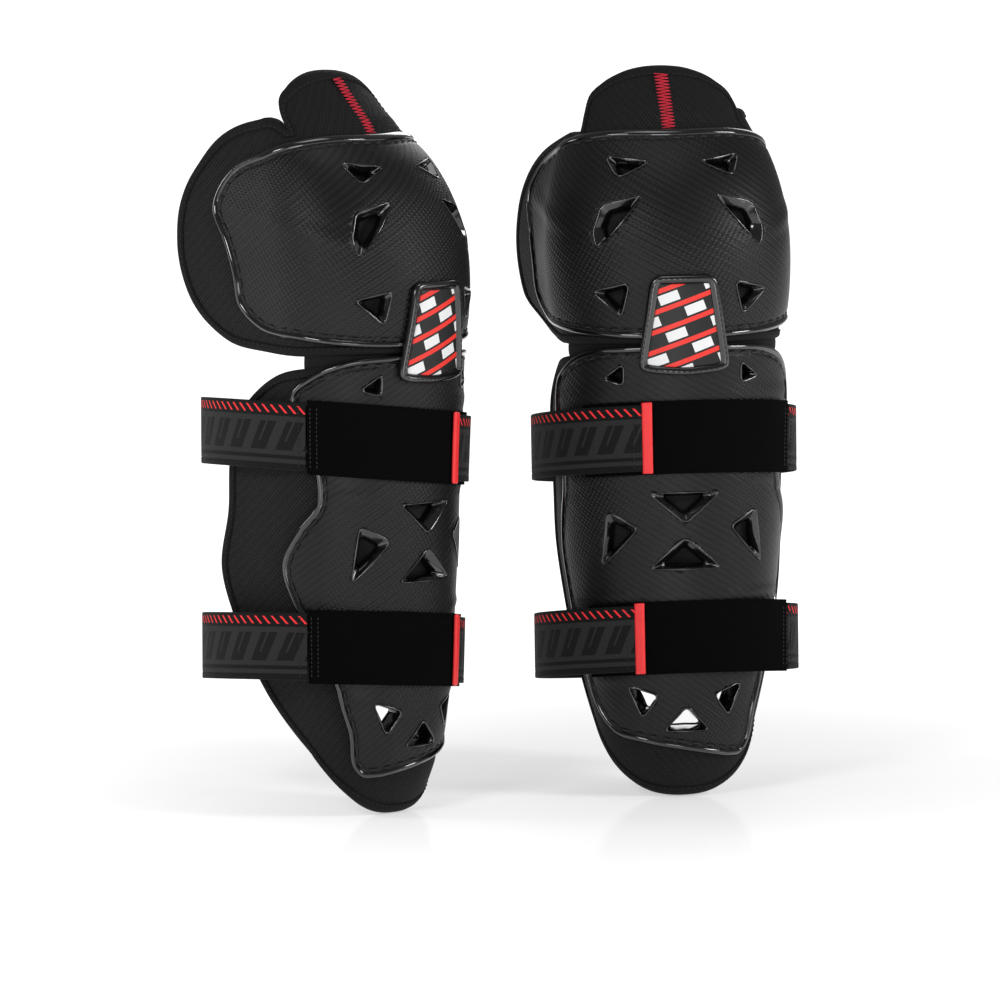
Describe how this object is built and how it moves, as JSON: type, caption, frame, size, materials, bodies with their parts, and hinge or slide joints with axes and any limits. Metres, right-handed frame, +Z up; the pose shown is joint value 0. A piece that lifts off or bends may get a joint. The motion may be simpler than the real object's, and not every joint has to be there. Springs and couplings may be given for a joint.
{
  "type": "pair of knee and shin guards",
  "caption": "Pair of hard-shell knee and shin guards on padded fabric, each with a hinged knee cup, a bridging badge and two hook-and-loop straps.",
  "frame": {"origin": "on the floor, at the middle of the left guard's strap loops, where the wearer's left leg goes", "axes": "+Z up along the leg, +Y from the front of the guards towards the back, +X across the pair"},
  "size_m": [0.3804, 0.2433, 0.4455],
  "materials": {
    "shell": "satin black moulded shell with a fine twill texture and a glossy lip",
    "vent": "gloss black moulded vent walls and lip",
    "cover": "black textured mesh cloth",
    "lining": "black brushed lining",
    "foam": "charcoal closed-cell foam",
    "binding": "charcoal edge binding",
    "badge_rim": "gloss black soft rubber frame",
    "badge_face": "charcoal face with a plain printed pattern",
    "elastic": "woven elastic with a grey middle band and a red dashed edge",
    "loop_pile": "deep matte loop pile",
    "hook": "black hook tape",
    "tab": "bright red moulded tab"
  },
  "bodies": {
    "left_shin": {"left_shin_shell": "shell", "left_shin_cover": "cover", "left_shin_foam": "foam", "left_shin_lining": "lining", "left_shin_binding": "binding", "left_knee_gusset": "cover", "left_badge_frame": "badge_rim", "left_badge_face": "badge_face", "left_upper_loop_panel": "loop_pile", "left_upper_band": "elastic", "left_lower_loop_panel": "loop_pile", "left_lower_band": "elastic"},
    "left_knee": {"left_knee_shell": "shell", "left_knee_cover": "cover", "left_knee_foam": "foam", "left_knee_lining": "lining", "left_knee_binding": "binding"},
    "left_upper_strap_end": {"left_upper_free_end": "elastic", "left_upper_hook_patch": "hook", "left_upper_end_tab": "tab"},
    "left_lower_strap_end": {"left_lower_free_end": "elastic", "left_lower_hook_patch": "hook", "left_lower_end_tab": "tab"},
    "right_shin": {"right_shin_shell": "shell", "right_shin_cover": "cover", "right_shin_foam": "foam", "right_shin_lining": "lining", "right_shin_binding": "binding", "right_knee_gusset": "cover", "right_badge_frame": "badge_rim", "right_badge_face": "badge_face", "right_upper_loop_panel": "loop_pile", "right_upper_band": "elastic", "right_lower_loop_panel": "loop_pile", "right_lower_band": "elastic"},
    "right_knee": {"right_knee_shell": "shell", "right_knee_cover": "cover", "right_knee_foam": "foam", "right_knee_lining": "lining", "right_knee_binding": "binding"},
    "right_upper_strap_end": {"right_upper_free_end": "elastic", "right_upper_hook_patch": "hook", "right_upper_end_tab": "tab"},
    "right_lower_strap_end": {"right_lower_free_end": "elastic", "right_lower_hook_patch": "hook", "right_lower_end_tab": "tab"}
  },
  "joints": [
    {"name": "right_guard_lift", "type": "slide", "parent": "left_shin", "child": "right_shin", "axis": [0, 0, 1], "range_m": [0, 0.5]},
    {"name": "left_knee_flex", "type": "hinge", "parent": "left_shin", "child": "left_knee", "pos_m": [0.00479, -0.07401, 0.28176], "axis": [-0.9913, -0.1305, -0.0175], "range_deg": [-5, 8], "stiffness_Nm_per_rad": 6, "deforming": ["left_knee_gusset", "left_badge_frame", "left_badge_face"]},
    {"name": "left_upper_strap_open", "type": "hinge", "parent": "left_shin", "child": "left_upper_strap_end", "pos_m": [-0.08593, -0.00913, 0.21155], "axis": [0.0353, -0.1357, -0.9901], "range_deg": [0, 25]},
    {"name": "left_lower_strap_open", "type": "hinge", "parent": "left_shin", "child": "left_lower_strap_end", "pos_m": [-0.08373, -0.00884, 0.08815], "axis": [0.0375, -0.1528, -0.9875], "range_deg": [0, 25]},
    {"name": "right_knee_flex", "type": "hinge", "parent": "right_shin", "child": "right_knee", "pos_m": [-0.14853, -0.12748, 0.2815], "axis": [-0.6361, -0.7716, 0], "range_deg": [-5, 8], "stiffness_Nm_per_rad": 6, "deforming": ["right_knee_gusset", "right_badge_frame", "right_badge_face"]},
    {"name": "right_upper_strap_open", "type": "hinge", "parent": "right_shin", "child": "right_upper_strap_end", "pos_m": [-0.1547, -0.01523, 0.2131], "axis": [0.07, 0.0958, 0.9929], "range_deg": [0, 25]},
    {"name": "right_lower_strap_open", "type": "hinge", "parent": "right_shin", "child": "right_lower_strap_end", "pos_m": [-0.15474, -0.01528, 0.08628], "axis": [0.0195, 0.1326, 0.991], "range_deg": [0, 25]}
  ]
}
